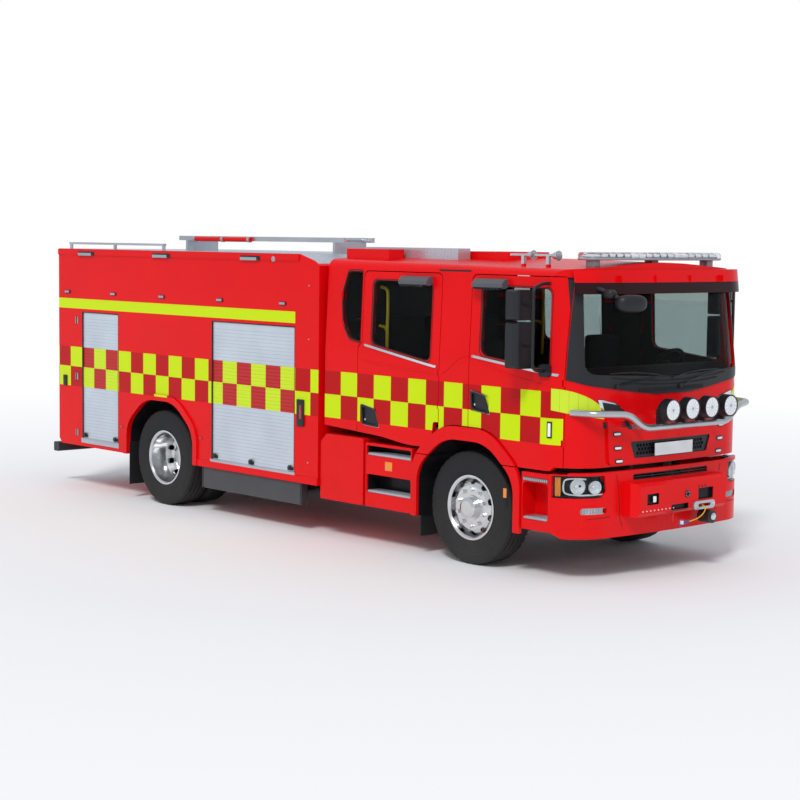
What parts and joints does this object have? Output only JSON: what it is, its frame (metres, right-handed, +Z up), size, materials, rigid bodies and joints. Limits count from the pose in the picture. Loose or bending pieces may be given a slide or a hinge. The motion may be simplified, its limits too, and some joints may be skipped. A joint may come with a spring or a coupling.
{
  "type": "fire engine with crew cab",
  "caption": "Two-axle fire engine with a tilting crew cab, hinged doors, steered front wheels, twin rear wheels and a closed equipment body with roller shutters and fold-down steps.",
  "frame": {"origin": "on the ground, at the middle of the length and width", "axes": "+Z up, the front faces -Y, the vehicle's right side is -X"},
  "size_m": [3, 8.8, 2.955],
  "materials": {
    "red_paint": "gloss",
    "chassis_paint": "satin",
    "engine_metal": "satin",
    "tyre_rubber": "matte",
    "wheel_aluminium": "satin",
    "bright_aluminium": "satin",
    "shutter_aluminium": "satin",
    "window_glass": "gloss",
    "black_plastic": "matte",
    "grey_plastic": "matte",
    "grey_panel": "satin",
    "seat_fabric": "matte",
    "grip_rubber": "matte",
    "lamp_lens": "gloss",
    "rope_fibre": "matte",
    "eye_fibre": "matte",
    "steel": "satin"
  },
  "bodies": {
    "root": {"chassis_frame": "chassis_paint", "engine_block": "engine_metal", "front_axle": "chassis_paint", "rear_axle": "chassis_paint", "side_boxes": "red_paint", "bumper": "red_paint", "lower_grille": "black_plastic", "winch_gear": "bright_aluminium", "winch_rope": "rope_fibre", "rope_eye": "eye_fibre", "headlamps": "lamp_lens", "fender_legs": "red_paint", "flap_hangers": "chassis_paint", "equipment_body": "red_paint", "shutters": "shutter_aluminium", "roof_ladder": "bright_aluminium", "body_lamps": "lamp_lens", "rear_hitch": "chassis_paint", "mudflaps": "grip_rubber"},
    "cab": {"cab_floor": "grey_plastic", "cab_back": "red_paint", "cab_roof": "red_paint", "cab_sides": "red_paint", "cab_front": "red_paint", "cab_glass": "window_glass", "dashboard": "black_plastic", "seat_cushions": "seat_fabric", "grille_hatch": "red_paint", "grille_mesh": "black_plastic", "number_plate": "bright_aluminium", "lamp_bar": "steel", "spot_lamps": "black_plastic", "visor": "red_paint", "light_bar": "lamp_lens", "roof_gear": "red_paint", "screen_surround": "black_plastic", "cab_arches": "red_paint"},
    "knuckle_right": {"knuckle_right": "chassis_paint"},
    "wheel_front_right": {"rim_front_right": "wheel_aluminium", "tyre_front_right": "tyre_rubber"},
    "wheels_rear_right": {"rim_rear_right": "wheel_aluminium", "tyres_rear_right": "tyre_rubber"},
    "step_flap_right": {"step_flap_right": "grey_panel"},
    "door_front_right": {"door_front_right": "red_paint", "glass_front_right": "window_glass", "mirror_right": "black_plastic"},
    "door_crew_right": {"door_crew_right": "red_paint", "glass_crew_right": "window_glass"},
    "knuckle_left": {"knuckle_left": "chassis_paint"},
    "wheel_front_left": {"rim_front_left": "wheel_aluminium", "tyre_front_left": "tyre_rubber"},
    "wheels_rear_left": {"rim_rear_left": "wheel_aluminium", "tyres_rear_left": "tyre_rubber"},
    "step_flap_left": {"step_flap_left": "grey_panel"},
    "door_front_left": {"door_front_left": "red_paint", "glass_front_left": "window_glass", "mirror_left": "black_plastic"},
    "door_crew_left": {"door_crew_left": "red_paint", "glass_crew_left": "window_glass"}
  },
  "joints": [
    {"name": "cab_tilt", "type": "hinge", "parent": "root", "child": "cab", "pos_m": [0, -3.965, 0.8], "axis": [1, 0, 0], "range_deg": [0, 45]},
    {"name": "steer_right", "type": "hinge", "parent": "root", "child": "knuckle_right", "pos_m": [-0.88, -2.68, 0.522], "axis": [0, 0, 1], "range_deg": [-40, 40]},
    {"name": "spin_front_right", "type": "hinge", "parent": "knuckle_right", "child": "wheel_front_right", "pos_m": [-1.02, -2.68, 0.522], "axis": [1, 0, 0], "continuous": true},
    {"name": "spin_rear_right", "type": "hinge", "parent": "root", "child": "wheels_rear_right", "pos_m": [-0.905, 2.07, 0.522], "axis": [1, 0, 0], "continuous": true},
    {"name": "flap_right", "type": "hinge", "parent": "root", "child": "step_flap_right", "pos_m": [-1.215, 0.4875, 0.295], "axis": [0, -1, 0], "range_deg": [0, 90]},
    {"name": "open_door_front_right", "type": "hinge", "parent": "cab", "child": "door_front_right", "pos_m": [-1.152, -3.804, 1.7], "axis": [0, 0, 1], "range_deg": [0, 80]},
    {"name": "open_door_crew_right", "type": "hinge", "parent": "cab", "child": "door_crew_right", "pos_m": [-1.205, -2.294, 1.7], "axis": [0, 0, 1], "range_deg": [0, 80]},
    {"name": "steer_left", "type": "hinge", "parent": "root", "child": "knuckle_left", "pos_m": [0.88, -2.68, 0.522], "axis": [0, 0, 1], "range_deg": [-40, 40]},
    {"name": "spin_front_left", "type": "hinge", "parent": "knuckle_left", "child": "wheel_front_left", "pos_m": [1.02, -2.68, 0.522], "axis": [1, 0, 0], "continuous": true},
    {"name": "spin_rear_left", "type": "hinge", "parent": "root", "child": "wheels_rear_left", "pos_m": [0.905, 2.07, 0.522], "axis": [1, 0, 0], "continuous": true},
    {"name": "flap_left", "type": "hinge", "parent": "root", "child": "step_flap_left", "pos_m": [1.215, 0.4875, 0.295], "axis": [0, 1, 0], "range_deg": [0, 90]},
    {"name": "open_door_front_left", "type": "hinge", "parent": "cab", "child": "door_front_left", "pos_m": [1.152, -3.804, 1.7], "axis": [0, 0, -1], "range_deg": [0, 80]},
    {"name": "open_door_crew_left", "type": "hinge", "parent": "cab", "child": "door_crew_left", "pos_m": [1.205, -2.294, 1.7], "axis": [0, 0, -1], "range_deg": [0, 80]}
  ],
  "couplings": [
    {"joint": "steer_left", "follows": "steer_right", "ratio": 1}
  ]
}
